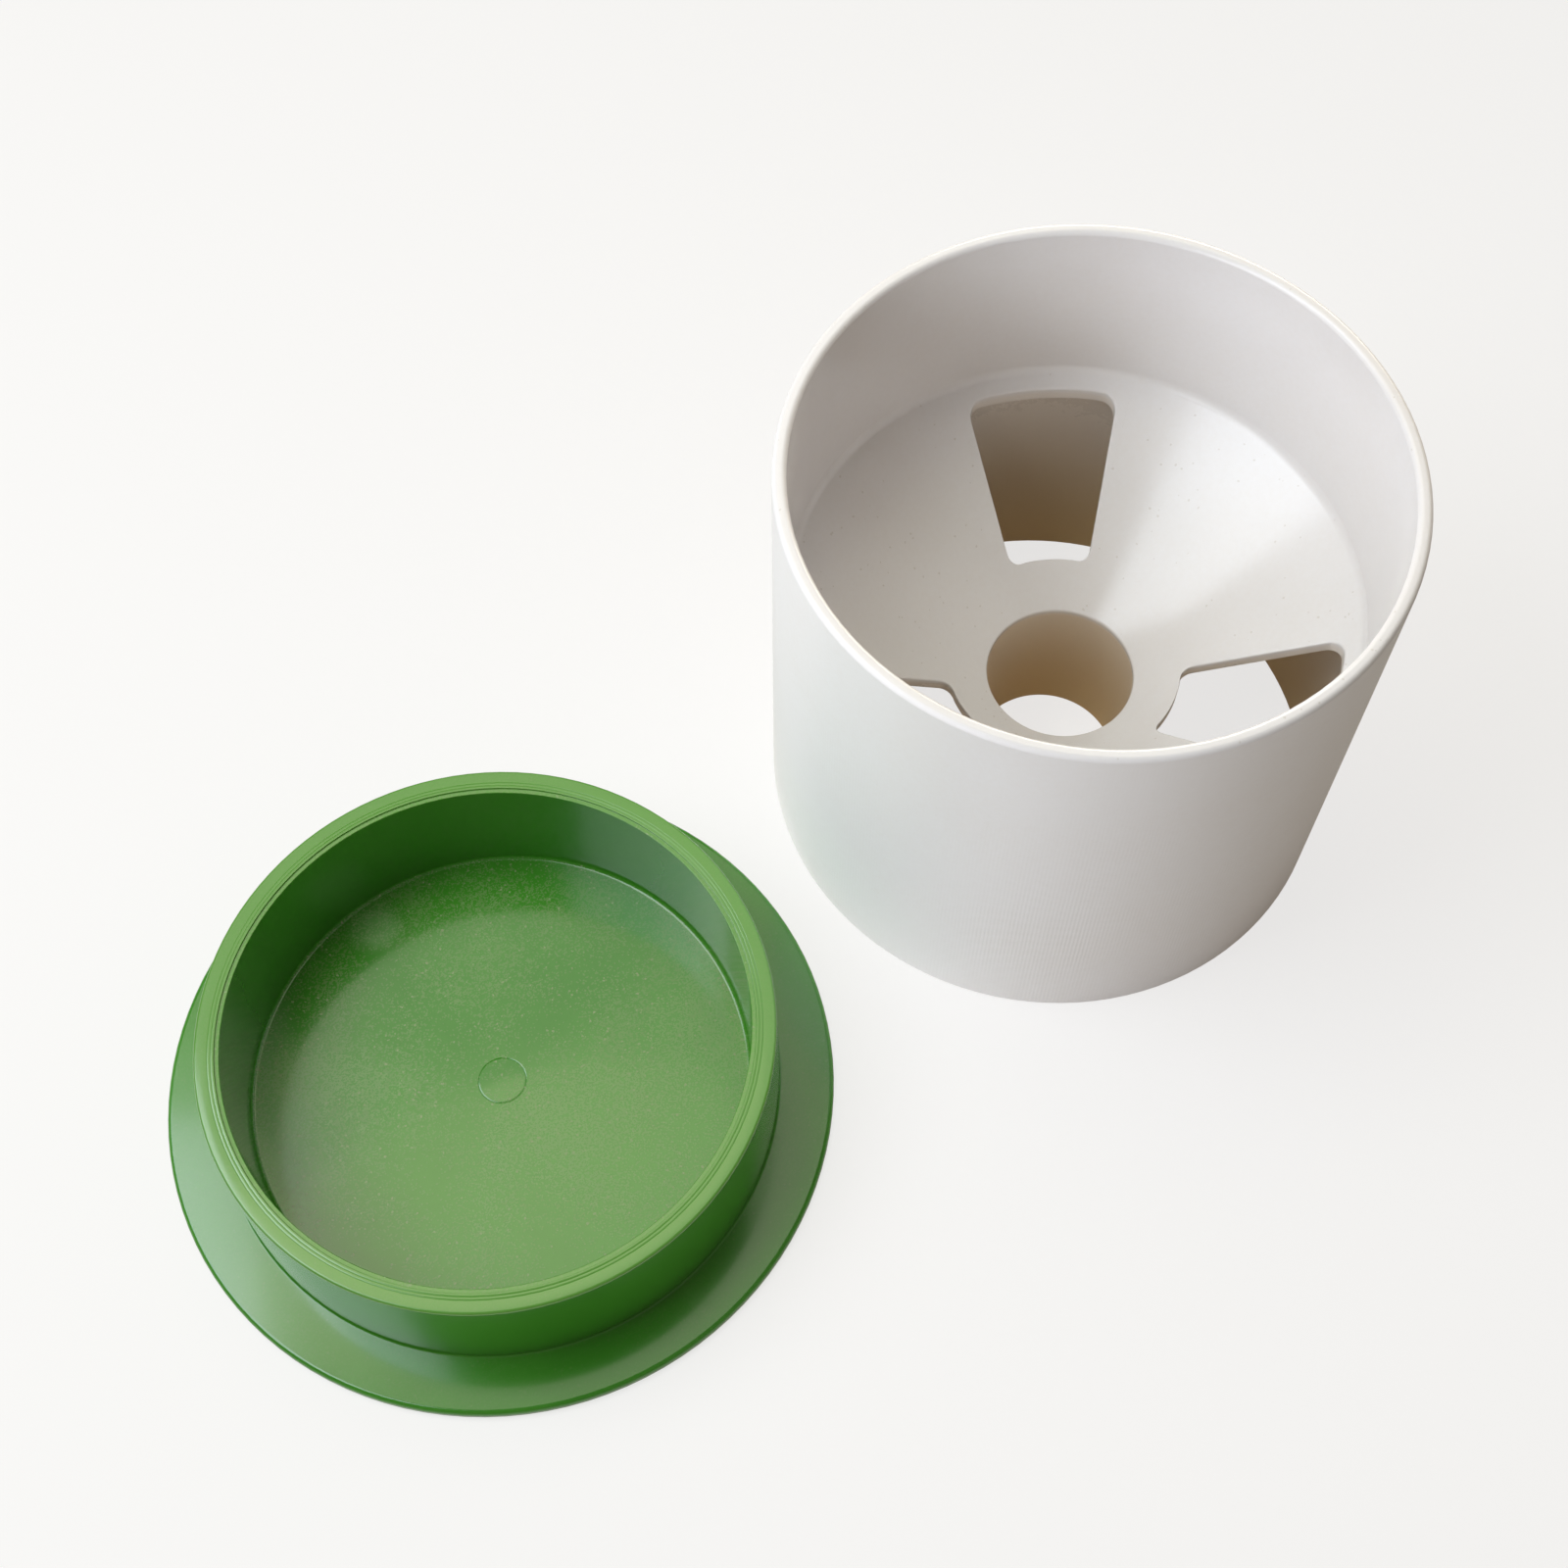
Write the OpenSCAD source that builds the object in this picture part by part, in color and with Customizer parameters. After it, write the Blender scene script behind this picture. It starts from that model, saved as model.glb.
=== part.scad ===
// Putting-green hole cup and its cover.
// The cup stands on its base on the floor. The cover lies beside it, turned over, with its
// locating ring upwards. Seated, the ring drops into the mouth of the cup and the flange
// rests on the rim.
// Frame: the origin is on the axis of the flagstick bore in the base plane, +Z is up, and the
// cover lies along -X, in line with one of the three drain windows.

/* [Cup] */
// Outside diameter of the cup, the size of the hole that it lines
cup_d = 108; // [90:0.5:130]
// Height of the cup from base to rim
cup_h = 94.5; // [78:0.5:160]
// Thickness of the cup's round wall
cup_wall = 2.5; // [1.8:0.1:4]
// Rounding of both edges of the rim
rim_round = 1; // [0.3:0.1:1.5]
// Rounding of the skirt's bottom edges
foot_round = 0.5; // [0.2:0.1:0.8]

/* [Funnel floor] */
// Depth from the rim to where the funnel floor meets the wall
funnel_depth = 37.3; // [31:0.1:45]
// Slope of the funnel floor, in degrees
funnel_slope = 34; // [25:1:41]
// Thickness of the funnel floor
funnel_wall = 2.4; // [1.8:0.1:4]
// Fillet between the wall and the funnel floor, on top
funnel_fillet = 2.4; // [1:0.1:4]
// Fillets under the funnel floor
under_fillet = 1.5; // [0.5:0.1:3]

/* [Flagstick bore] */
// Diameter of the flagstick bore
bore_d = 27.5; // [18:0.5:33]
// Wall of the tube around the bore
bore_wall = 2.4; // [1.8:0.1:4]
// Rounding of the bore's mouth
bore_round = 0.6; // [0.2:0.1:1.5]

/* [Drain windows] */
// Number of windows through the funnel floor
window_count = 3; // [2:1:4]
// Strip of floor left between the bore and a window
window_inner_land = 8.2; // [5:0.1:12]
// Strip of floor left between a window and the wall
window_outer_land = 3.1; // [2:0.1:8]
// Width of a window at its inner end
window_inner_w = 15.4; // [10:0.1:18.5]
// Width of a window at its outer end
window_outer_w = 30; // [20:0.5:36]
// Corner radius at a window's inner end
window_inner_round = 2; // [1:0.1:3]
// Corner radius at a window's outer end
window_outer_round = 3; // [1:0.1:4]

/* [Cover] */
// How far the flange reaches past the outside of the cup, all round
flange_lip = 7.35; // [4:0.05:20]
// Thickness of the flange
flange_t = 2.45; // [1.8:0.05:4]
// Rounding of the flange's rim
flange_round = 0.9; // [0.3:0.1:1.5]
// Height of the locating ring above the flange
ring_h = 25.4; // [15:0.1:30.5]
// Wall of the locating ring at its free edge
ring_wall = 4.4; // [2.5:0.1:6]
// Clearance between the ring and the cup's mouth, on each side
ring_gap = 0.25; // [0.15:0.05:1]
// How much the ring narrows from its root to its free edge, on each side
ring_draft = 0.35; // [0:0.05:0.6]
// Rounding of the ring's free edge
ring_round = 0.5; // [0.2:0.1:1]
// Step turned into the inner edge of the ring's free end
ring_step = 0.4; // [0.2:0.1:0.8]
// How far the plate inside the ring is sunk below the flange
plate_sink = 0.75; // [0:0.05:0.9]
// Fillet between the ring and the plate inside it
plate_fillet = 0.8; // [0.3:0.1:2]
// Fillet between the ring and the flange outside it
root_fillet = 0.4; // [0.2:0.1:1.5]
// Clear floor between the cup and the cover that lies beside it
cover_aside = 10; // [5:1:60]

/* [Hidden] */
$fn = 180;
arc_steps = 8;
sweep_step = 2;
eps = 1;

cup_ro = cup_d / 2;
cup_ri = cup_ro - cup_wall;
rim_r = min(rim_round, 0.45 * cup_wall);
foot_r = min(foot_round, 0.45 * cup_wall);
bore_r = bore_d / 2;
tube_r = bore_r + bore_wall;
rise = tan(funnel_slope);
slant = 1 / cos(funnel_slope);
funnel_top_z = cup_h - funnel_depth;

window_ri = bore_r + window_inner_land;
window_ro = cup_ri - window_outer_land;
window_lean = (window_outer_w - window_inner_w) / 2 / (window_ro - window_ri);
window_tilt = atan(window_lean);
window_turn = 180;

flange_r = cup_ro + flange_lip;
flange_edge_r = min(flange_round, 0.45 * flange_t);
plate_t = flange_t - plate_sink;
ring_root_r = cup_ri - ring_gap;
ring_tip_r = ring_root_r - ring_draft;
ring_tip_ri = ring_tip_r - ring_wall;
ring_root_ri = ring_tip_ri - ring_draft;
cover_h = flange_t + ring_h;
cover_x = cup_ro + cover_aside + flange_r;

// Points along an arc about a centre, from one angle to another
function arc(centre, r, from, to, steps = arc_steps) =
    [for (i = [0:steps]) let (a = from + (to - from) * i / steps) centre + r * [cos(a), sin(a)]];

// Height of the funnel floor's top face, and of its underside, at a radius
function floor_z(r) = funnel_top_z - (cup_ri - r) * rise;
function under_z(r) = floor_z(r) - funnel_wall * slant;

// Centre of a round that touches the funnel floor's top face or its underside
function on_floor(r, round) = [r, floor_z(r) + round * slant];
function on_under(r, round) = [r, under_z(r) + round * slant];

// Where the line y = lean * x + lift meets the circle of radius r about the origin
function line_on_circle(lean, lift, r) =
    let (x = (sqrt(r * r * (1 + lean * lean) - lift * lift) - lean * lift) / (1 + lean * lean))
    [x, lean * x + lift];

// Centre of a window's corner round, on a circle about the cup's axis
function corner_centre(r, round) =
    line_on_circle(window_lean, window_inner_w / 2 - window_ri * window_lean - round / cos(window_tilt), r);

// Half section of the cup: outside, rim, mouth, funnel floor, bore, tube and underside
module cup_section() {
    polygon(concat(
        arc([cup_ro - foot_r, foot_r], foot_r, -90, 0),
        arc([cup_ro - rim_r, cup_h - rim_r], rim_r, 0, 90),
        arc([cup_ri + rim_r, cup_h - rim_r], rim_r, 90, 180),
        arc(on_floor(cup_ri - funnel_fillet, funnel_fillet), funnel_fillet, 0, funnel_slope - 90),
        arc(on_floor(bore_r + bore_round, -bore_round), bore_round, funnel_slope + 90, 180),
        [[bore_r, 0]],
        [[tube_r, 0]],
        arc(on_under(tube_r + under_fillet, -under_fillet), under_fillet, 180, funnel_slope + 90),
        arc(on_under(cup_ri - under_fillet, -under_fillet), under_fillet, funnel_slope + 90, 0),
        arc([cup_ri + foot_r, foot_r], foot_r, 180, 270)
    ));
}

// Outline of one drain window, lying along +X: a tapered slot between two arcs
module window_outline() {
    outer = corner_centre(window_ro - window_outer_round, window_outer_round);
    inner = corner_centre(window_ri + window_inner_round, window_inner_round);
    outer_a = atan2(outer[1], outer[0]);
    inner_a = atan2(inner[1], inner[0]);
    upper = concat(
        arc(outer, window_outer_round, outer_a, 90 + window_tilt),
        arc(inner, window_inner_round, 90 + window_tilt, 180 + inner_a)
    );
    lower = [for (i = [len(upper) - 1:-1:0]) [upper[i][0], -upper[i][1]]];
    polygon(concat(
        upper,
        arc([0, 0], window_ri, inner_a, -inner_a, round(2 * inner_a / sweep_step)),
        lower,
        arc([0, 0], window_ro, -outer_a, outer_a, round(2 * outer_a / sweep_step))
    ));
}

module hole_cup() {
    color("#e9e5df") difference() {
        rotate_extrude() cup_section();
        for (i = [0:window_count - 1])
            rotate([0, 0, window_turn + i * 360 / window_count])
                translate([0, 0, under_z(window_ri) - eps])
                    linear_extrude(floor_z(window_ro) - under_z(window_ri) + 2 * eps + funnel_fillet)
                        window_outline();
    }
}

// Half section of the cover, turned over: plate, flange and locating ring
module cover_section() {
    polygon(concat(
        [[0, 0]],
        arc([flange_r - flange_edge_r, flange_edge_r], flange_edge_r, -90, 0),
        arc([flange_r - flange_edge_r, flange_t - flange_edge_r], flange_edge_r, 0, 90),
        arc([ring_root_r + root_fillet, flange_t + root_fillet], root_fillet, -90, -180),
        arc([ring_tip_r - ring_round, cover_h - ring_round], ring_round, 0, 90),
        [[ring_tip_ri + 2 * ring_step, cover_h]],
        [[ring_tip_ri + 2 * ring_step, cover_h - ring_step]],
        [[ring_tip_ri, cover_h - ring_step]],
        arc([ring_root_ri - plate_fillet, plate_t + plate_fillet], plate_fillet, 0, -90),
        [[0, plate_t]]
    ));
}

module cup_cover() {
    color("#2f8f2c") translate([-cover_x, 0, 0]) rotate_extrude() cover_section();
}

hole_cup();
cup_cover();
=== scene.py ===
import math

import bpy
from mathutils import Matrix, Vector


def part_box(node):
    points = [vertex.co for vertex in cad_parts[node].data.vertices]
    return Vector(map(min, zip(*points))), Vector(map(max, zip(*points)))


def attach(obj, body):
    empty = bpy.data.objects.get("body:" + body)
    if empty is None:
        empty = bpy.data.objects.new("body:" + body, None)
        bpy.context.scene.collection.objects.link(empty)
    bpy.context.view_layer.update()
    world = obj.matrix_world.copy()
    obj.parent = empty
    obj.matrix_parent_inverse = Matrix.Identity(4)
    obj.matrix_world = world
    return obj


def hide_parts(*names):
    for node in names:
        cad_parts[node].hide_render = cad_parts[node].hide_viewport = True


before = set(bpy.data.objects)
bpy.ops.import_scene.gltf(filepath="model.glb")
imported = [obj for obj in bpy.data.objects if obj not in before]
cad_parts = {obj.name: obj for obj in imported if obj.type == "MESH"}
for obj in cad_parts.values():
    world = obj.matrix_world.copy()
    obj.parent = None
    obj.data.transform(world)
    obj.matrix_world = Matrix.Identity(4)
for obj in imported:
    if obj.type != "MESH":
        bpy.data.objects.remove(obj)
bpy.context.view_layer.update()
print("frame loaded:", sorted(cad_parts))

mm = 0.001
columns = 108                      # faces round each turned piece
columnStep = 2 * math.pi / columns


def selectOnly(piece, kind, test):
    # kind is vertices, edges or polygons; test says which of them to select
    mesh = piece.data
    for parts in (mesh.vertices, mesh.edges, mesh.polygons):
        parts.foreach_set("select", [False] * len(parts))
    for part in getattr(mesh, kind):
        part.select = test(part)
    bpy.context.tool_settings.mesh_select_mode = (kind == "vertices", kind == "edges", kind == "polygons")


def makeActive(piece):
    bpy.ops.object.select_all(action="DESELECT")
    piece.select_set(True)
    bpy.context.view_layer.objects.active = piece


def applyModifier(piece, kind, **settings):
    makeActive(piece)
    modifier = piece.modifiers.new(kind.title(), kind)
    for setting, value in settings.items():
        setattr(modifier, setting, value)
    bpy.ops.object.modifier_apply(modifier=modifier.name)


def roundCorner(piece, before, corner, after, radius, segments):
    # a vertex bevel whose reach along both edges suits an arc of this radius
    turn = (corner - before).angle(after - corner)
    nearest = min(piece.data.vertices, key=lambda vertex: (vertex.co - corner).length).index
    selectOnly(piece, "vertices", lambda vertex: vertex.index == nearest)
    bpy.ops.object.mode_set(mode="EDIT")
    bpy.ops.mesh.bevel(
        offset=radius * math.tan(turn / 2), offset_type="OFFSET", segments=segments, affect="VERTICES")
    bpy.ops.object.mode_set(mode="OBJECT")


def drawOutline(name, corners, closed):
    # corners are (place, radius of its round, segments); a plane merged to one vertex starts the line
    places = [Vector(place) for place, radius, segments in corners]
    bpy.ops.object.select_all(action="DESELECT")
    bpy.ops.mesh.primitive_plane_add(size=mm, location=places[0])
    bpy.ops.object.transform_apply(location=True, rotation=True, scale=True)
    piece = bpy.context.object
    piece.name = name
    piece.data.name = name
    bpy.ops.object.mode_set(mode="EDIT")
    bpy.ops.mesh.select_mode(type="VERT")
    bpy.ops.mesh.select_all(action="SELECT")
    bpy.ops.mesh.merge(type="CENTER")
    for here, there in zip(places, places[1:]):
        bpy.ops.mesh.extrude_vertices_move(TRANSFORM_OT_translate={"value": there - here})
    bpy.ops.object.mode_set(mode="OBJECT")
    if closed:
        ends = [min(piece.data.vertices, key=lambda vertex: (vertex.co - end).length).index
                for end in (places[0], places[-1])]
        selectOnly(piece, "vertices", lambda vertex: vertex.index in ends)
        bpy.ops.object.mode_set(mode="EDIT")
        bpy.ops.mesh.edge_face_add()
        bpy.ops.object.mode_set(mode="OBJECT")
    for i, (place, radius, segments) in enumerate(corners):
        if radius:
            after = places[(i + 1) % len(places)]
            roundCorner(piece, places[i - 1], places[i], after, radius, segments)
    return piece


def turnOutline(piece, centre):
    # spins the outline once round a vertical axis and closes the skin
    selectOnly(piece, "vertices", lambda vertex: True)
    bpy.ops.object.mode_set(mode="EDIT")
    bpy.ops.mesh.spin(steps=columns, angle=2 * math.pi, center=centre, axis=(0, 0, 1))
    bpy.ops.mesh.select_all(action="SELECT")
    bpy.ops.mesh.remove_doubles(threshold=0.001 * mm)
    bpy.ops.mesh.normals_make_consistent(inside=False)
    bpy.ops.object.mode_set(mode="OBJECT")


def finishSurface(piece, sharpAngle):
    makeActive(piece)
    bpy.ops.object.shade_smooth_by_angle(angle=math.radians(sharpAngle))
    applyModifier(piece, "WEIGHTED_NORMAL", keep_sharp=True, weight=80)


cup = {
    "wall": 2.5 * mm,
    "rimRound": 1.0 * mm,
    "footRound": 0.5 * mm,
    "funnelDepth": 37.3 * mm,      # rim down to where the funnel floor meets the wall
    "funnelSlope": math.radians(34),
    "funnelWall": 2.4 * mm,
    "funnelFillet": 2.4 * mm,
    "underFillet": 1.5 * mm,
    "boreRadius": 13.75 * mm,
    "boreWall": 2.4 * mm,
    "boreRound": 0.6 * mm,
    "tubeEdgeRound": 0.3 * mm,
    "windowInnerLand": 8.2 * mm,   # floor left between the bore and a window
    "windowOuterLand": 3.1 * mm,   # floor left between a window and the wall
    "windowInnerWidth": 15.4 * mm,
    "windowOuterWidth": 30 * mm,
    "windowInnerRound": 2 * mm,
    "windowOuterRound": 3 * mm,
    "windowEdgeRound": 0.35 * mm,
    "windowCount": 3,
    "sharpAngle": 42,              # degrees; edges sharper than this stay crisp
}
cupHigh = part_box("hole_cup")[1]
cupOuter = cupHigh.x
cupInner = cupOuter - cup["wall"]
tubeOuter = cup["boreRadius"] + cup["boreWall"]
windowInner = cup["boreRadius"] + cup["windowInnerLand"]
windowOuter = cupInner - cup["windowOuterLand"]


def floorTop(radius):
    # height of the funnel floor's upper face at a radius
    rise = (cupInner - radius) * math.tan(cup["funnelSlope"])
    return cupHigh.z - cup["funnelDepth"] - rise


def floorUnder(radius):
    return floorTop(radius) - cup["funnelWall"] / math.cos(cup["funnelSlope"])


def windowCorner(radius):
    # where a window's straight side crosses a circle about the cup's axis
    lean = (cup["windowOuterWidth"] - cup["windowInnerWidth"]) / 2 / (windowOuter - windowInner)
    lift = cup["windowInnerWidth"] / 2 - windowInner * lean
    square = 1 + lean * lean
    x = (math.sqrt(radius * radius * square - lift * lift) - lean * lift) / square
    return x, lean * x + lift


def makeWindowCutter():
    # one upright block with the window's outline, then two more turned about the axis
    low = floorUnder(windowInner) - mm
    high = floorTop(windowOuter) + 2 * mm
    middles = [(i + 0.5) * columnStep for i in range(-4, 4)]   # halfway along the cup's own facets
    innerX, innerY = windowCorner(windowInner)
    outerX, outerY = windowCorner(windowOuter)
    corners = [((-innerX, innerY, low), cup["windowInnerRound"], 6)]
    corners += [((-outerX, outerY, low), cup["windowOuterRound"], 8)]
    corners += [((-windowOuter * math.cos(a), windowOuter * math.sin(-a), low), 0, 0) for a in middles]
    corners += [((-outerX, -outerY, low), cup["windowOuterRound"], 8)]
    corners += [((-innerX, -innerY, low), cup["windowInnerRound"], 6)]
    corners += [((-windowInner * math.cos(a), windowInner * math.sin(a), low), 0, 0) for a in middles]
    cutter = drawOutline("windowCutter", corners, closed=True)
    selectOnly(cutter, "vertices", lambda vertex: True)
    bpy.ops.object.mode_set(mode="EDIT")
    bpy.ops.mesh.edge_face_add()
    bpy.ops.mesh.extrude_region_move(TRANSFORM_OT_translate={"value": (0, 0, high - low)})
    bpy.ops.mesh.select_all(action="SELECT")
    bpy.ops.mesh.normals_make_consistent(inside=False)
    for _ in range(cup["windowCount"] - 1):
        bpy.ops.mesh.duplicate()
        bpy.ops.transform.rotate(
            value=2 * math.pi / cup["windowCount"], orient_axis="Z", center_override=(0, 0, 0))
    bpy.ops.object.mode_set(mode="OBJECT")
    return cutter


def isWindowSide(face):
    radius = face.center.to_2d().length
    return abs(face.normal.z) < 0.1 and windowInner - mm < radius < windowOuter + mm


def makeCup():
    bore = cup["boreRadius"]
    outline = [
        ((cupOuter, 0, 0), cup["footRound"], 4),
        ((cupOuter, 0, cupHigh.z), cup["rimRound"], 8),
        ((cupInner, 0, cupHigh.z), cup["rimRound"], 8),
        ((cupInner, 0, floorTop(cupInner)), cup["funnelFillet"], 8),
        ((bore, 0, floorTop(bore)), cup["boreRound"], 5),
        ((bore, 0, 0), cup["tubeEdgeRound"], 3),
        ((tubeOuter, 0, 0), cup["tubeEdgeRound"], 3),
        ((tubeOuter, 0, floorUnder(tubeOuter)), cup["underFillet"], 5),
        ((cupInner, 0, floorUnder(cupInner)), cup["underFillet"], 6),
        ((cupInner, 0, 0), cup["footRound"], 4),
    ]
    body = drawOutline("cupMoulding", outline, closed=True)
    turnOutline(body, (0, 0, 0))
    cutter = makeWindowCutter()
    applyModifier(body, "BOOLEAN", operation="DIFFERENCE", solver="EXACT", object=cutter)
    bpy.data.objects.remove(cutter)
    selectOnly(body, "polygons", isWindowSide)
    bpy.ops.object.mode_set(mode="EDIT")
    bpy.ops.mesh.region_to_loop()
    bpy.ops.mesh.bevel(offset=cup["windowEdgeRound"], segments=3, affect="EDGES")
    bpy.ops.object.mode_set(mode="OBJECT")
    finishSurface(body, cup["sharpAngle"])
    return body


cupPiece = makeCup()
print("cup modelled:", len(cupPiece.data.polygons), "faces")


cover = {
    "flangeThickness": 2.45 * mm,
    "flangeRound": 0.9 * mm,
    "plateThickness": 1.7 * mm,
    "plateFillet": 0.8 * mm,
    "ringGap": 0.25 * mm,          # between the ring and the cup's mouth
    "ringDraft": 0.35 * mm,
    "ringWall": 4.4 * mm,
    "ringRound": 0.5 * mm,
    "ringStep": 0.4 * mm,          # turned into the free end's inner edge
    "stepTopRound": 0.12 * mm,
    "stepRootRound": 0.1 * mm,
    "stepInnerRound": 0.15 * mm,
    "rootFillet": 0.4 * mm,
    "turnedLines": 2,              # fine grooves left on the ring's free end
    "turnedSpacing": 0.6 * mm,
    "turnedWidth": 0.1 * mm,
    "turnedDepth": 0.055 * mm,
    "gateRadius": 4.4 * mm,        # round mark of the moulding gate in the middle of the plate
    "gateWidth": 0.28 * mm,
    "gateDepth": 0.09 * mm,
    "sharpAngle": 35,              # degrees
}
coverLow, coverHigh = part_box("cup_cover")
coverCentre = Vector(((coverLow.x + coverHigh.x) / 2, (coverLow.y + coverHigh.y) / 2, 0))
flangeRadius = (coverHigh.x - coverLow.x) / 2
ringRoot = cupInner - cover["ringGap"]
ringTip = ringRoot - cover["ringDraft"]
ringTipInner = ringTip - cover["ringWall"]
ringRootInner = ringTipInner - cover["ringDraft"]


def groove(radius, height, width, depth):
    # three outline corners of a shallow round groove, going towards the axis
    return [(radius + width, height), (radius, height - depth), (radius - width, height)]


def makeCover():
    top = coverHigh.z
    thick = cover["flangeThickness"]
    plate = cover["plateThickness"]
    stepRadius = ringTipInner + 2 * cover["ringStep"]
    outline = [
        (0, 0, 0, 0),
        (flangeRadius, 0, cover["flangeRound"], 6),
        (flangeRadius, thick, cover["flangeRound"], 6),
        (ringRoot, thick, cover["rootFillet"], 4),
        (ringTip, top, cover["ringRound"], 5),
    ]
    for i in range(cover["turnedLines"], 0, -1):
        radius = stepRadius + i * cover["turnedSpacing"]
        outline += [(r, z, 0, 0) for r, z in groove(radius, top, cover["turnedWidth"], cover["turnedDepth"])]
    outline += [
        (stepRadius, top, cover["stepTopRound"], 2),
        (stepRadius, top - cover["ringStep"], cover["stepRootRound"], 2),
        (ringTipInner, top - cover["ringStep"], cover["stepInnerRound"], 3),
        (ringRootInner, plate, cover["plateFillet"], 6),
    ]
    outline += [(r, z, 0, 0) for r, z in groove(
        cover["gateRadius"], plate, cover["gateWidth"], cover["gateDepth"])]
    outline += [(0, plate, 0, 0)]
    corners = [((coverCentre.x + r, coverCentre.y, z), radius, segments)
               for r, z, radius, segments in outline]
    body = drawOutline("coverMoulding", corners, closed=False)
    turnOutline(body, coverCentre)
    finishSurface(body, cover["sharpAngle"])
    return body


coverPiece = makeCover()
print("cover modelled:", len(coverPiece.data.polygons), "faces")


def addNode(tree, kind, x, y, **settings):
    node = tree.nodes.new(kind)
    node.location = (x, y)
    for setting, value in settings.items():
        setattr(node, setting, value)
    return node


def wire(tree, source, target):
    tree.links.new(source, target)


def maths(tree, operation, x, y, first, second=None, clamp=False):
    # first and second are sockets or plain numbers
    node = addNode(tree, "ShaderNodeMath", x, y, operation=operation, use_clamp=clamp)
    for socket, value in zip(node.inputs, (first, second)):
        if isinstance(value, bpy.types.NodeSocket):
            wire(tree, value, socket)
        elif value is not None:
            socket.default_value = value
    return node.outputs[0]


def ramp(tree, x, y, value, low, high, toLow=0.0, toHigh=1.0):
    node = addNode(tree, "ShaderNodeMapRange", x, y, interpolation_type="SMOOTHSTEP")
    wire(tree, value, node.inputs["Value"])
    for name, number in (("From Min", low), ("From Max", high), ("To Min", toLow), ("To Max", toHigh)):
        if isinstance(number, bpy.types.NodeSocket):
            wire(tree, number, node.inputs[name])
        else:
            node.inputs[name].default_value = number
    return node.outputs["Result"]


def noise(tree, x, y, vector, scale, detail=3.0, roughness=0.55):
    node = addNode(tree, "ShaderNodeTexNoise", x, y)
    wire(tree, vector, node.inputs["Vector"])
    if isinstance(scale, bpy.types.NodeSocket):
        wire(tree, scale, node.inputs["Scale"])
    else:
        node.inputs["Scale"].default_value = scale
    node.inputs["Detail"].default_value = detail
    node.inputs["Roughness"].default_value = roughness
    return node.outputs["Fac"]


def mixColour(tree, x, y, factor, first, second):
    node = addNode(tree, "ShaderNodeMix", x, y, data_type="RGBA", clamp_factor=True)
    wire(tree, factor, node.inputs[0])
    colours = [socket for socket in node.inputs if socket.type == "RGBA"]
    for socket, value in zip(colours, (first, second)):
        if isinstance(value, bpy.types.NodeSocket):
            wire(tree, value, socket)
        else:
            socket.default_value = (*value, 1)
    return [socket for socket in node.outputs if socket.type == "RGBA"][0]


def startGroup(name, inputs, outputs):
    tree = bpy.data.node_groups.new(name, "ShaderNodeTree")
    tree.interface.new_socket("Vector", in_out="INPUT", socket_type="NodeSocketVector")
    for label, value in inputs:
        socket = tree.interface.new_socket(label, in_out="INPUT", socket_type="NodeSocketFloat")
        socket.default_value = value
    for label in outputs:
        tree.interface.new_socket(label, in_out="OUTPUT", socket_type="NodeSocketFloat")
    start = addNode(tree, "NodeGroupInput", -900, 0)
    end = addNode(tree, "NodeGroupOutput", 900, 0)
    return tree, start.outputs, end.inputs


pattern = {
    "mottleEdges": (0.32, 0.68),
    "patchEdges": (0.3, 0.75),     # where dust lies thin and thick
    "speckSize": 0.3,
    "speckEdges": (-0.12, 0.06),
    "upwardEdges": (0.3, 0.8),     # how level a face has to be for dust to lie on it
    "scuffSlants": (25, -50),      # degrees
    "scuffTilt": (0.3, 0.2),
    "scuffStretch": 0.12,
    "scuffPatchScale": 35.0,
    "scuffPatchEdges": (0.5, 0.7),
}


def makeMottle():
    # slow colour drift in the plastic, with a finer grain over it
    tree, given, out = startGroup(
        "mottle", (("Drift Scale", 20), ("Grain Scale", 600), ("Grain", 0.3)), ("Value",))
    drift = noise(tree, -600, 200, given["Vector"], given["Drift Scale"], 4.0)
    grain = noise(tree, -600, -100, given["Vector"], given["Grain Scale"], 2.0, 0.7)
    share = addNode(tree, "ShaderNodeMix", -200, 0, data_type="FLOAT")
    wire(tree, given["Grain"], share.inputs[0])
    wire(tree, drift, share.inputs[2])
    wire(tree, grain, share.inputs[3])
    wire(tree, ramp(tree, 200, 0, share.outputs[0], *pattern["mottleEdges"]), out["Value"])
    return tree


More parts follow.
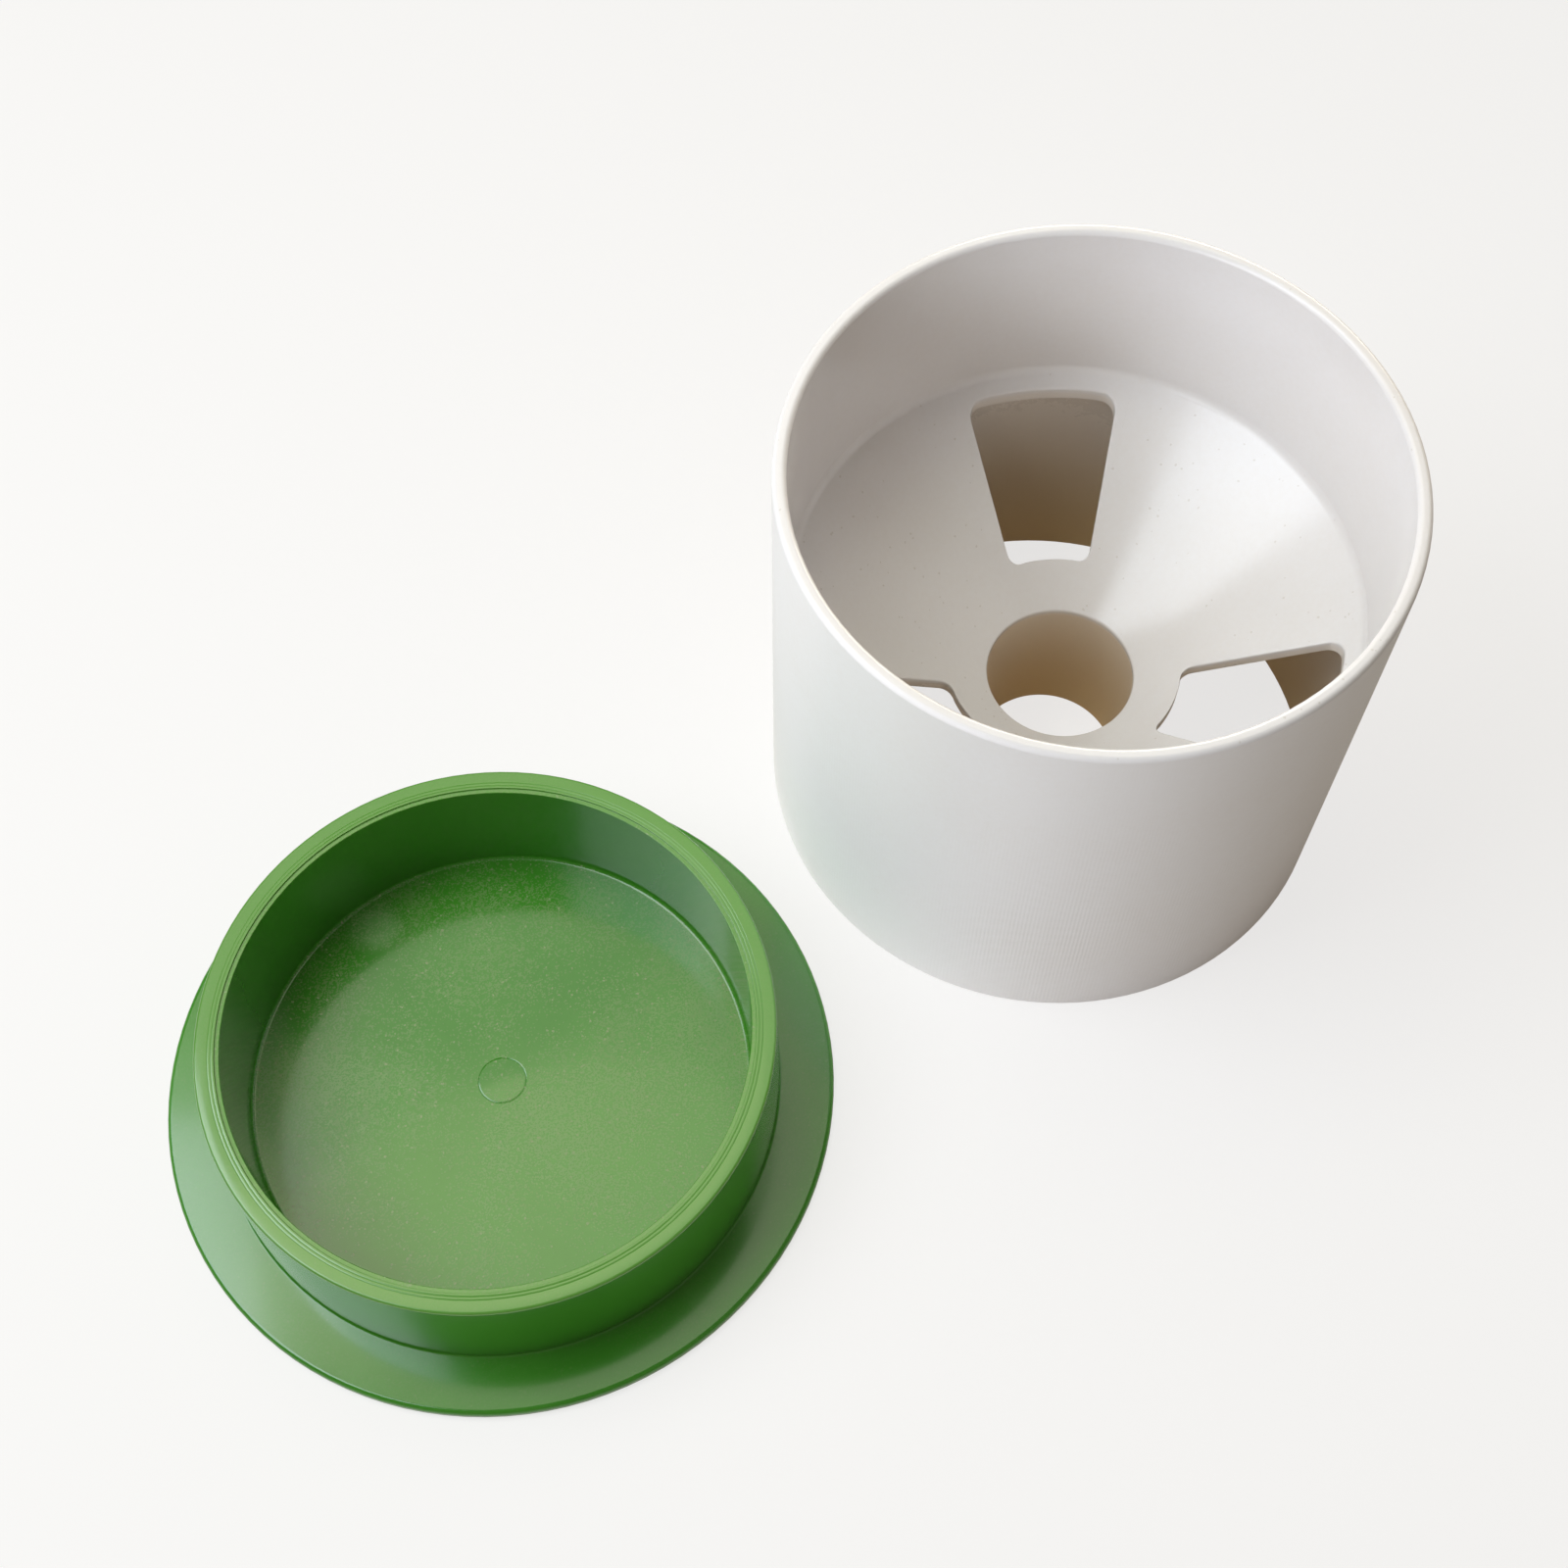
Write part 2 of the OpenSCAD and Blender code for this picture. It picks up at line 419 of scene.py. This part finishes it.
def makeDust():
    # small specks that lie on upward faces, thicker in some places than in others
    tree, given, out = startGroup(
        "dustSpecks", (("Specks Scale", 700), ("Amount", 0.3), ("Patch Scale", 40)), ("Mask",))
    cells = addNode(tree, "ShaderNodeTexVoronoi", -700, 200, feature="F1")
    wire(tree, given["Vector"], cells.inputs["Vector"])
    wire(tree, given["Specks Scale"], cells.inputs["Scale"])
    pick = addNode(tree, "ShaderNodeSeparateColor", -500, 60)
    wire(tree, cells.outputs["Color"], pick.inputs["Color"])
    patches = noise(tree, -700, -200, given["Vector"], given["Patch Scale"], 3.0)
    patchShare = ramp(tree, -450, -200, patches, *pattern["patchEdges"])
    limit = maths(tree, "MULTIPLY", -250, -100, patchShare, given["Amount"])
    chosen = maths(tree, "LESS_THAN", -50, 60, pick.outputs["Red"], limit)
    size = maths(tree, "MULTIPLY_ADD", -250, 220, pick.outputs["Green"], pattern["speckSize"])
    spot = maths(tree, "SUBTRACT", -50, 260, size, cells.outputs["Distance"])
    dot = ramp(tree, 150, 260, spot, *pattern["speckEdges"])
    facing = addNode(tree, "ShaderNodeNewGeometry", -50, -350)
    axes = addNode(tree, "ShaderNodeSeparateXYZ", 150, -350)
    wire(tree, facing.outputs["Normal"], axes.inputs["Vector"])
    upward = ramp(tree, 350, -350, axes.outputs["Z"], *pattern["upwardEdges"])
    lying = maths(tree, "MULTIPLY", 400, 100, dot, chosen)
    wire(tree, maths(tree, "MULTIPLY", 600, 0, lying, upward, True), out["Mask"])
    return tree


def makeScuffs():
    # hair scratches: two thin slices through stretched noise, at different slants
    tree, given, out = startGroup("scuffs", (("Scale", 60), ("Width", 0.012), ("Amount", 0.5)), ("Mask",))
    lines = []
    for i, slant in enumerate(pattern["scuffSlants"]):
        turned = addNode(tree, "ShaderNodeMapping", -700, 300 - 400 * i)
        turned.inputs["Rotation"].default_value = (*pattern["scuffTilt"], math.radians(slant))
        turned.inputs["Scale"].default_value = (1, pattern["scuffStretch"], 1)
        wire(tree, given["Vector"], turned.inputs["Vector"])
        field = noise(tree, -500, 300 - 400 * i, turned.outputs["Vector"], given["Scale"], 2.0)
        offset = maths(tree, "SUBTRACT", -300, 300 - 400 * i, field, 0.5)
        away = maths(tree, "ABSOLUTE", -150, 300 - 400 * i, offset)
        lines.append(ramp(tree, 50, 300 - 400 * i, away, 0.0, given["Width"], 1.0, 0.0))
    both = maths(tree, "MAXIMUM", 300, 100, lines[0], lines[1])
    patches = noise(tree, 50, -400, given["Vector"], pattern["scuffPatchScale"], 2.0)
    where = ramp(tree, 300, -300, patches, *pattern["scuffPatchEdges"])
    shown = maths(tree, "MULTIPLY", 500, 0, both, where)
    wire(tree, maths(tree, "MULTIPLY", 700, 0, shown, given["Amount"], True), out["Mask"])
    return tree


def makeMouldSkin():
    # the slight orange peel of a polished mould, as a height
    tree, given, out = startGroup(
        "mouldSkin", (("Peel Scale", 220), ("Fine Scale", 1500), ("Fine", 0.25)), ("Height",))
    peel = noise(tree, -500, 150, given["Vector"], given["Peel Scale"], 1.5, 0.4)
    fine = noise(tree, -500, -150, given["Vector"], given["Fine Scale"], 2.0)
    wire(tree, maths(tree, "ADD", 100, 0, peel, maths(tree, "MULTIPLY", -100, -150, fine, given["Fine"])),
         out["Height"])
    return tree


mottle = makeMottle()
dustSpecks = makeDust()
scuffs = makeScuffs()
mouldSkin = makeMouldSkin()


def useGroup(tree, group, x, y, vector, values):
    node = addNode(tree, "ShaderNodeGroup", x, y, node_tree=group)
    wire(tree, vector, node.inputs["Vector"])
    for label, value in values.items():
        node.inputs[label].default_value = value
    return node.outputs[0]


def startPlastic(name, centre):
    # object coordinates measured from the piece's own axis
    material = bpy.data.materials.new(name)
    material.use_nodes = True
    tree = material.node_tree
    place = addNode(tree, "ShaderNodeTexCoord", -1700, 0)
    centred = addNode(tree, "ShaderNodeMapping", -1500, 0)
    centred.inputs["Location"].default_value = -centre
    wire(tree, place.outputs["Object"], centred.inputs["Vector"])
    axes = addNode(tree, "ShaderNodeSeparateXYZ", -1300, -200)
    wire(tree, centred.outputs["Vector"], axes.inputs["Vector"])
    flat = addNode(tree, "ShaderNodeCombineXYZ", -1100, -200)
    wire(tree, axes.outputs["X"], flat.inputs["X"])
    wire(tree, axes.outputs["Y"], flat.inputs["Y"])
    radius = addNode(tree, "ShaderNodeVectorMath", -950, -200, operation="LENGTH")
    wire(tree, flat.outputs["Vector"], radius.inputs[0])
    return material, tree, centred.outputs["Vector"], axes.outputs, radius.outputs["Value"]


cupFinish = {
    "base": (0.80, 0.778, 0.772),
    "warm": (0.775, 0.740, 0.718),     # slow drift towards cream
    "skirtPaintedShade": (0.62, 0.45, 0.22),  # painted shade and brown bounce light on the dim insides: skirt, bore and windows
    "skirtFrom": 0.2 * mm,             # below the funnel's upper face
    "skirtBlend": 1.4 * mm,
    "skirtTopShare": 0.2,
    "dust": (0.50, 0.44, 0.36),
    "dustShare": 0.35,                 # how much of the dust's colour a speck shows
    "roughness": 0.17,
    "driftRoughness": 0.05,            # these four are added to it
    "scuffRoughness": 0.22,
    "skirtRoughness": 0.25,
    "outsideRoughness": 0.24,          # the satin outside
    "mottle": {"Drift Scale": 14, "Grain Scale": 900, "Grain": 0.25},
    "specks": {"Specks Scale": 2600, "Amount": 0.01, "Patch Scale": 45},
    "scuffs": {"Scale": 90, "Width": 0.006, "Amount": 0.2},
    "skin": {"Peel Scale": 180, "Fine Scale": 1400, "Fine": 0.1},
    "ior": 1.53,
    "dragSpacing": 0.0128,             # angle between the fine lines that the mould drew down the wall
    "dragHeight": 0.009 * mm,
    "dragTopShare": 0.15,
    "dragPatchScale": 40.0,
    "dragPatchEdges": (0.35, 0.65),
    "dragPatchShare": 0.2,             # left of the lines between the patches
    "peelHeight": 0.007 * mm,
    "scratchDepth": 0.003 * mm,
}


def makeCupPlastic():
    material, tree, vector, axes, radius = startPlastic("cupPlastic", Vector((0, 0, 0)))
    shader = tree.nodes["Principled BSDF"]
    drift = useGroup(tree, mottle, -700, 500, vector, cupFinish["mottle"])
    colour = mixColour(tree, -450, 500, drift, cupFinish["base"], cupFinish["warm"])

    # painted shade, stronger towards the base, on the inside of the skirt, the bore and the windows: inside
    # the wall and under the funnel's upper face
    funnel = maths(tree, "MULTIPLY_ADD", -900, 100, radius, math.tan(cup["funnelSlope"]))
    funnel.node.inputs[2].default_value = floorTop(0) - cupFinish["skirtFrom"]
    under = maths(tree, "SUBTRACT", -800, 100, funnel, axes["Z"])
    under = ramp(tree, -700, 100, under, 0, cupFinish["skirtBlend"])
    within = ramp(tree, -700, -60, radius, cupInner + 0.3 * mm, cupInner + 0.9 * mm, 1.0, 0.0)
    inside = maths(tree, "MULTIPLY", -550, 60, under, within)
    depth = ramp(tree, -700, -380, axes["Z"], 0.0, floorUnder(cupInner), 1.0, cupFinish["skirtTopShare"])
    skirt = maths(tree, "MULTIPLY", -300, 0, inside, depth)
    colour = mixColour(tree, -100, 400, skirt, colour, cupFinish["skirtPaintedShade"])

    # a little dust settles on the funnel floor
    dust = useGroup(tree, dustSpecks, -450, 250, vector, cupFinish["specks"])
    dust = maths(tree, "MULTIPLY", -250, 250, dust, cupFinish["dustShare"])
    colour = mixColour(tree, 100, 350, dust, colour, cupFinish["dust"])
    wire(tree, colour, shader.inputs["Base Color"])

    outer = ramp(tree, -600, -800, radius, cupInner + 1.6 * mm, cupOuter - 0.3 * mm)
    satin = maths(tree, "MULTIPLY", 200, -450, outer, cupFinish["outsideRoughness"])
    scratches = useGroup(tree, scuffs, -450, -250, vector, cupFinish["scuffs"])
    gloss = maths(tree, "MULTIPLY_ADD", 0, -100, drift, cupFinish["driftRoughness"])
    gloss.node.inputs[2].default_value = cupFinish["roughness"]
    scuffed = maths(tree, "MULTIPLY", 0, -250, scratches, cupFinish["scuffRoughness"])
    rough = maths(tree, "ADD", 150, -100, gloss, scuffed)
    dull = maths(tree, "MULTIPLY", 100, -350, skirt, cupFinish["skirtRoughness"])
    rough = maths(tree, "ADD", 250, -150, rough, dull)
    rough = maths(tree, "ADD", 350, -200, rough, satin, True)
    wire(tree, rough, shader.inputs["Roughness"])

    # fine upright lines on the outside, stronger towards the base
    angle = maths(tree, "ARCTAN2", -900, -500, axes["Y"], axes["X"])
    line = maths(tree, "SINE", -600, -500, maths(tree, "MULTIPLY", -750, -500, angle,
                                                 2 * math.pi / cupFinish["dragSpacing"]))
    low = ramp(tree, -600, -650, axes["Z"], 0.95 * cupHigh.z, 0.15 * cupHigh.z,
               cupFinish["dragTopShare"], 1.0)
    patch = noise(tree, -800, -950, vector, cupFinish["dragPatchScale"])
    patch = ramp(tree, -600, -950, patch, *cupFinish["dragPatchEdges"], cupFinish["dragPatchShare"], 1.0)
    drag = maths(tree, "MULTIPLY", -300, -600, line, maths(tree, "MULTIPLY", -400, -750, low, outer))
    drag = maths(tree, "MULTIPLY", -200, -600, drag, patch)
    skin = useGroup(tree, mouldSkin, -450, -1000, vector, cupFinish["skin"])
    height = maths(tree, "ADD", 100, -700,
                   maths(tree, "MULTIPLY", -50, -600, drag, cupFinish["dragHeight"]),
                   maths(tree, "MULTIPLY", -50, -800, skin, cupFinish["peelHeight"]))
    cut = maths(tree, "MULTIPLY", 100, -850, scratches, cupFinish["scratchDepth"])
    height = maths(tree, "SUBTRACT", 250, -700, height, cut)
    bump = addNode(tree, "ShaderNodeBump", 400, -600)
    bump.inputs["Distance"].default_value = 1.0
    wire(tree, height, bump.inputs["Height"])
    wire(tree, bump.outputs["Normal"], shader.inputs["Normal"])
    shader.inputs["IOR"].default_value = cupFinish["ior"]
    return material


coverFinish = {
    "base": (0.044, 0.262, 0.013),
    "pale": (0.064, 0.312, 0.022),
    "dust": (0.34, 0.38, 0.19),
    "haze": (0.24, 0.46, 0.17),
    "turned": (0.145, 0.385, 0.058),   # painted light: the ring's free end painted paler, as lit on its upward face
    "paintedTopShare": 0.75,
    "paintedTopFrom": 0.7 * mm,            # below the free end, where it begins and where it is full
    "paintedTopFull": 0.3 * mm,
    "roughness": 0.13,
    "driftRoughness": 0.06,            # these four are added to it
    "scuffRoughness": 0.2,
    "dustRoughness": 0.4,
    "hazeRoughness": 0.12,
    "mottle": {"Drift Scale": 22, "Grain Scale": 750, "Grain": 0.12},
    "specks": {"Specks Scale": 2500, "Amount": 0.035, "Patch Scale": 60},
    "specksShare": 0.5,
    "fineSpecks": {"Specks Scale": 3400, "Amount": 0.9, "Patch Scale": 34},
    "fineSpecksShare": 0.26,
    "specksOnRing": 0.12,              # left of the dust outside the plate
    "scuffs": {"Scale": 70, "Width": 0.010, "Amount": 0.4},
    "skin": {"Peel Scale": 160, "Fine Scale": 1300, "Fine": 0.12},
    "ior": 1.53,
    "coat": 0.5,
    "coatRoughness": 0.08,
    "hazePlace": (-4.6 * mm, 40 * mm, 1.7 * mm),   # a touched spot on the plate, from the cover's axis
    "hazeRadius": 6.5 * mm,
    "hazeGrain": 260.0,
    "peelHeight": 0.002 * mm,
    "scratchDepth": 0.004 * mm,
    "dustHeight": 0.01 * mm,
}


def makeCoverPlastic():
    material, tree, vector, axes, radius = startPlastic("coverPlastic", coverCentre)
    shader = tree.nodes["Principled BSDF"]
    drift = useGroup(tree, mottle, -700, 500, vector, coverFinish["mottle"])
    colour = mixColour(tree, -450, 500, drift, coverFinish["base"], coverFinish["pale"])

    spot = addNode(tree, "ShaderNodeVectorMath", -900, 250, operation="DISTANCE")
    wire(tree, vector, spot.inputs[0])
    spot.inputs[1].default_value = coverFinish["hazePlace"]
    haze = ramp(tree, -700, 250, spot.outputs["Value"], 0.3 * coverFinish["hazeRadius"],
                coverFinish["hazeRadius"], 1.0, 0.0)
    grain = noise(tree, -700, 100, vector, coverFinish["hazeGrain"])
    haze = maths(tree, "MULTIPLY", -500, 250, haze, grain)
    colour = mixColour(tree, -250, 450, haze, colour, coverFinish["haze"])

    # painted light: the ring's top and the last bit of its walls painted paler, where light falls on the
    # free end
    ringTopPaintedLight = ramp(tree, -900, 700, axes["Z"], coverHigh.z - coverFinish["paintedTopFrom"],
                  coverHigh.z - coverFinish["paintedTopFull"], 0.0, coverFinish["paintedTopShare"])
    colour = mixColour(tree, -200, 900, ringTopPaintedLight, colour, coverFinish["turned"])

    dust = useGroup(tree, dustSpecks, -450, 50, vector, coverFinish["specks"])
    fineDust = useGroup(tree, dustSpecks, -450, -100, vector, coverFinish["fineSpecks"])
    inPlate = ramp(tree, -450, -250, radius, ringRootInner - 0.5 * mm, ringRootInner + 2 * mm,
                   1.0, coverFinish["specksOnRing"])
    dust = maths(tree, "MULTIPLY", -300, 50, dust, coverFinish["specksShare"])
    fineDust = maths(tree, "MULTIPLY", -300, -100, fineDust, coverFinish["fineSpecksShare"])
    dust = maths(tree, "ADD", -200, 50, dust, fineDust)
    dust = maths(tree, "MULTIPLY", -50, 50, dust, inPlate, True)
    colour = mixColour(tree, 100, 400, dust, colour, coverFinish["dust"])
    wire(tree, colour, shader.inputs["Base Color"])

    scratches = useGroup(tree, scuffs, -450, -400, vector, coverFinish["scuffs"])
    gloss = maths(tree, "MULTIPLY_ADD", 0, -100, drift, coverFinish["driftRoughness"])
    gloss.node.inputs[2].default_value = coverFinish["roughness"]
    scuffed = maths(tree, "MULTIPLY", 0, -250, scratches, coverFinish["scuffRoughness"])
    rough = maths(tree, "ADD", 150, -100, gloss, scuffed)
    dusty = maths(tree, "MULTIPLY", 100, -350, dust, coverFinish["dustRoughness"])
    rough = maths(tree, "ADD", 250, -150, rough, dusty)
    touched = maths(tree, "MULTIPLY", 200, -350, haze, coverFinish["hazeRoughness"])
    rough = maths(tree, "ADD", 350, -150, rough, touched, True)
    wire(tree, rough, shader.inputs["Roughness"])

    skin = useGroup(tree, mouldSkin, -450, -600, vector, coverFinish["skin"])
    peel = maths(tree, "MULTIPLY", -200, -600, skin, coverFinish["peelHeight"])
    cut = maths(tree, "MULTIPLY", -200, -800, scratches, coverFinish["scratchDepth"])
    raised = maths(tree, "MULTIPLY", 0, -800, dust, coverFinish["dustHeight"])
    height = maths(tree, "ADD", 150, -600, maths(tree, "SUBTRACT", 0, -600, peel, cut), raised)
    bump = addNode(tree, "ShaderNodeBump", 300, -600)
    bump.inputs["Distance"].default_value = 1.0
    wire(tree, height, bump.inputs["Height"])
    wire(tree, bump.outputs["Normal"], shader.inputs["Normal"])
    shader.inputs["IOR"].default_value = coverFinish["ior"]
    shader.inputs["Coat Weight"].default_value = coverFinish["coat"]
    shader.inputs["Coat Roughness"].default_value = coverFinish["coatRoughness"]
    return material


cupPiece.data.materials.append(makeCupPlastic())
coverPiece.data.materials.append(makeCoverPlastic())
print("materials made")


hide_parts("hole_cup")
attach(cupPiece, "cup")
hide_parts("cup_cover")
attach(coverPiece, "cover")


studio = {
    "floorSize": 6.0,
    "floorColour": (0.87, 0.838, 0.80),
    "floorRoughness": 0.7,
    "floorSpecular": 0.2,
    "floorGlow": 0.14,                 # light that the floor gives off, like paper lit from below
    "floorGlowColour": (1.0, 0.93, 0.85),
    "floorLift": 0.7,                  # how far it is lifted to white where it is looked at
    "worldColour": (1.0, 0.87, 0.74),
    "worldStrength": 0.175,
    "wallColour": (0.90, 0.90, 0.895),  # what is seen behind the floor
    "keyPlace": (-0.40, 0.183, 0.565),  # the large softbox on the left
    "keyAim": (0.03, 0, 0.045),
    "keySize": (0.44, 0.40),
    "keyPower": 2.7,
    "keyColour": (0.84, 0.915, 1.0),
    "fillPlace": (-0.67, -0.06, 0.30),  # a low one on the left, for the cup alone
    "fillAim": (0, 0, 0.05),
    "fillSize": (0.5, 0.3),
    "fillPower": 2.6,
    "fillColour": (0.86, 0.91, 1.0),
    "backPlace": (0.50, 0.40, 0.36),   # a weak warm one behind on the right, for the cup alone
    "backAim": (0, 0, 0.07),
    "backSize": (0.5, 0.3),
    "backPower": 3.6,
    "backColour": (1.0, 0.95, 0.87),
    "topPlace": (-0.02, 0.27, 0.72),   # a broad weak softbox above and behind
    "topAim": (-0.125, 0, 0.01),
    "topSize": (0.62, 0.46),
    "topPower": 1.12,
    "topColour": (1.0, 0.98, 0.80),
    "stripPlace": (-0.095, 0.198, 0.66),  # a small one below it, mirrored by the near half of the plate
    "stripAim": (-0.137, -0.017, 0.002),
    "stripSize": (0.26, 0.126),
    "stripPower": 0.10,
    "stripColour": (0.96, 1.0, 0.55),
}


def softbox(name, shape="RECTANGLE"):
    # place, aim, size, power and colour come from the studio values that start with this name
    light = bpy.data.lights.new(name + "Softbox", "AREA")
    light.shape = shape
    light.size, light.size_y = studio[name + "Size"]
    light.energy = studio[name + "Power"]
    light.color = studio[name + "Colour"]
    lamp = bpy.data.objects.new(name + "Softbox", light)
    lamp.location = studio[name + "Place"]
    lamp.rotation_euler = (Vector(studio[name + "Aim"]) - lamp.location).to_track_quat("-Z", "Y").to_euler()
    bpy.context.scene.collection.objects.link(lamp)
    return lamp


def lightOnly(lamp, piece):
    # the lamp lights this piece and nothing else, and nothing else shades it
    lit = bpy.data.collections.new(lamp.name + "Lit")
    lit.objects.link(piece)
    lamp.light_linking.receiver_collection = lit
    lamp.light_linking.blocker_collection = lit


def makeFloor():
    bpy.ops.object.select_all(action="DESELECT")
    bpy.ops.mesh.primitive_plane_add(size=studio["floorSize"])
    floor = bpy.context.object
    floor.name = "studioFloor"
    material = bpy.data.materials.new("paleFloor")
    material.use_nodes = True
    tree = material.node_tree
    shader = tree.nodes["Principled BSDF"]
    shader.inputs["Base Color"].default_value = (*studio["floorColour"], 1)
    shader.inputs["Roughness"].default_value = studio["floorRoughness"]
    shader.inputs["Specular IOR Level"].default_value = studio["floorSpecular"]
    shader.inputs["Emission Color"].default_value = (*studio["floorGlowColour"], 1)
    shader.inputs["Emission Strength"].default_value = studio["floorGlow"]
    # looked at directly, the floor is a sheet of lit paper, so its shadows stay pale
    glow = addNode(tree, "ShaderNodeEmission", -200, -400)
    path = addNode(tree, "ShaderNodeLightPath", -600, 200)
    lift = maths(tree, "MULTIPLY", -300, 200, path.outputs["Is Camera Ray"], studio["floorLift"])
    paper = addNode(tree, "ShaderNodeMixShader", 300, 100)
    wire(tree, lift, paper.inputs[0])
    wire(tree, shader.outputs[0], paper.inputs[1])
    wire(tree, glow.outputs[0], paper.inputs[2])
    wire(tree, paper.outputs[0], tree.nodes["Material Output"].inputs["Surface"])
    floor.data.materials.append(material)


def makeWorld():
    # dim warm light all round, with a pale wall where it is looked at directly
    world = bpy.data.worlds.new("studioWorld")
    world.use_nodes = True
    tree = world.node_tree
    light = tree.nodes["Background"]
    light.inputs["Color"].default_value = (*studio["worldColour"], 1)
    light.inputs["Strength"].default_value = studio["worldStrength"]
    wall = addNode(tree, "ShaderNodeBackground", 0, -200)
    wall.inputs["Color"].default_value = (*studio["wallColour"], 1)
    path = addNode(tree, "ShaderNodeLightPath", 0, 400)
    choice = addNode(tree, "ShaderNodeMixShader", 250, 100)
    wire(tree, path.outputs["Is Camera Ray"], choice.inputs[0])
    wire(tree, light.outputs[0], choice.inputs[1])
    wire(tree, wall.outputs[0], choice.inputs[2])
    wire(tree, choice.outputs[0], tree.nodes["World Output"].inputs["Surface"])
    bpy.context.scene.world = world


makeFloor()
softbox("key")
lightOnly(softbox("fill"), cupPiece)
lightOnly(softbox("back"), cupPiece)
softbox("top")
softbox("strip", shape="ELLIPSE")
makeWorld()
bpy.context.scene.view_settings.view_transform = "Standard"

view = {
    "place": (-0.1658, -0.1535, 0.3942),
    "aim": (-0.0559, 0.0099, 0.03),
    "sensor": 36,
    "lens": 51.7,
    "clipStart": 0.01,
}
cameraData = bpy.data.cameras.new("camera")
cameraData.sensor_width = view["sensor"]
cameraData.lens = view["lens"]
cameraData.clip_start = view["clipStart"]
camera = bpy.data.objects.new("camera", cameraData)
camera.location = view["place"]
camera.rotation_euler = (Vector(view["aim"]) - camera.location).to_track_quat("-Z", "Y").to_euler()
bpy.context.scene.collection.objects.link(camera)
bpy.context.scene.camera = camera
print("studio set up")
